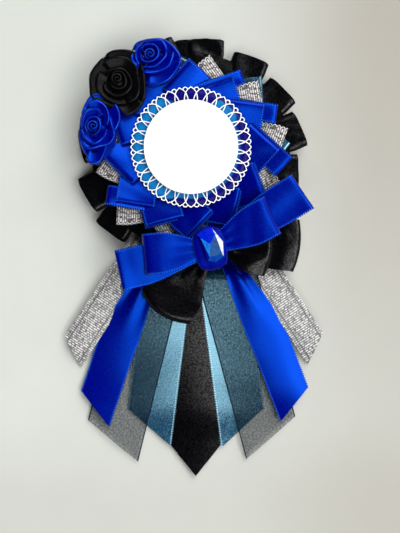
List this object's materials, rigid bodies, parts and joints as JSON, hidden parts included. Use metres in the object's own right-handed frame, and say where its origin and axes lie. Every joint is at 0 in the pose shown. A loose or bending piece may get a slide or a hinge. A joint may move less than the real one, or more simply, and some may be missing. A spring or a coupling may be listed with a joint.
{
  "type": "ribbon rosette",
  "caption": "Layered ribbon rosette with a round pierced-edge badge, pleated and looped rings, ribbon roses, two bows, a cut stone and a fan of ribbon tails.",
  "frame": {"origin": "under the middle of the outline, on the surface that the rosette lies on, face up", "axes": "+Y up the rosette from the tails to the ring, +Z out of its face, +X to the right as its face is seen"},
  "size_m": [0.1283, 0.2206, 0.0346],
  "materials": {
    "black_satin": "satin-weave polyester ribbon, black",
    "royal_blue_satin": "satin-weave polyester ribbon, royal blue, with a picot edge",
    "light_blue_satin": "satin-weave polyester ribbon, light blue, with a picot edge",
    "black_organza": "sheer black woven ribbon with a dense selvage",
    "silver_ribbon": "metallic woven ribbon, silver",
    "felt": "pressed felt, matt",
    "steel": "nickel-plated steel",
    "badge_blue": "glossy blue shell",
    "lace_white": "thin cut border, white",
    "face_white": "smooth white face",
    "cut_stone": "faceted blue stone, polished"
  },
  "bodies": {
    "root": {"brooch_pin": "steel", "backing_disc": "felt", "black_ruffle": "black_satin", "light_blue_ring": "light_blue_satin", "badge_shell": "badge_blue", "lace_border": "lace_white", "badge_face": "face_white", "black_bow": "black_satin", "blue_bow_back": "royal_blue_satin", "blue_bow_front": "royal_blue_satin", "bow_knot": "royal_blue_satin", "gem": "cut_stone", "black_tail": "black_satin", "light_blue_tail_left": "light_blue_satin", "light_blue_tail_right": "light_blue_satin", "organza_tail_left": "black_organza", "organza_tail_right": "black_organza", "blue_tail_left": "royal_blue_satin", "blue_tail_right": "royal_blue_satin", "silver_tail_left": "silver_ribbon", "silver_tail_right": "silver_ribbon", "rose_blue_top": "royal_blue_satin", "rose_black": "black_satin", "rose_blue_low": "royal_blue_satin", "silver_loop_1": "silver_ribbon", "silver_loop_2": "silver_ribbon", "silver_loop_3": "silver_ribbon", "silver_loop_4": "silver_ribbon", "silver_loop_5": "silver_ribbon", "silver_loop_6": "silver_ribbon", "silver_loop_7": "silver_ribbon", "silver_loop_8": "silver_ribbon", "silver_loop_9": "silver_ribbon", "silver_loop_10": "silver_ribbon", "silver_loop_11": "silver_ribbon", "silver_loop_12": "silver_ribbon", "blue_pleat_1": "royal_blue_satin", "blue_pleat_2": "royal_blue_satin", "blue_pleat_3": "royal_blue_satin", "blue_pleat_4": "royal_blue_satin", "blue_pleat_5": "royal_blue_satin", "blue_pleat_6": "royal_blue_satin", "blue_pleat_7": "royal_blue_satin", "blue_pleat_8": "royal_blue_satin", "blue_pleat_9": "royal_blue_satin", "blue_pleat_10": "royal_blue_satin", "blue_pleat_11": "royal_blue_satin", "blue_pleat_12": "royal_blue_satin"}
  },
  "joints": []
}
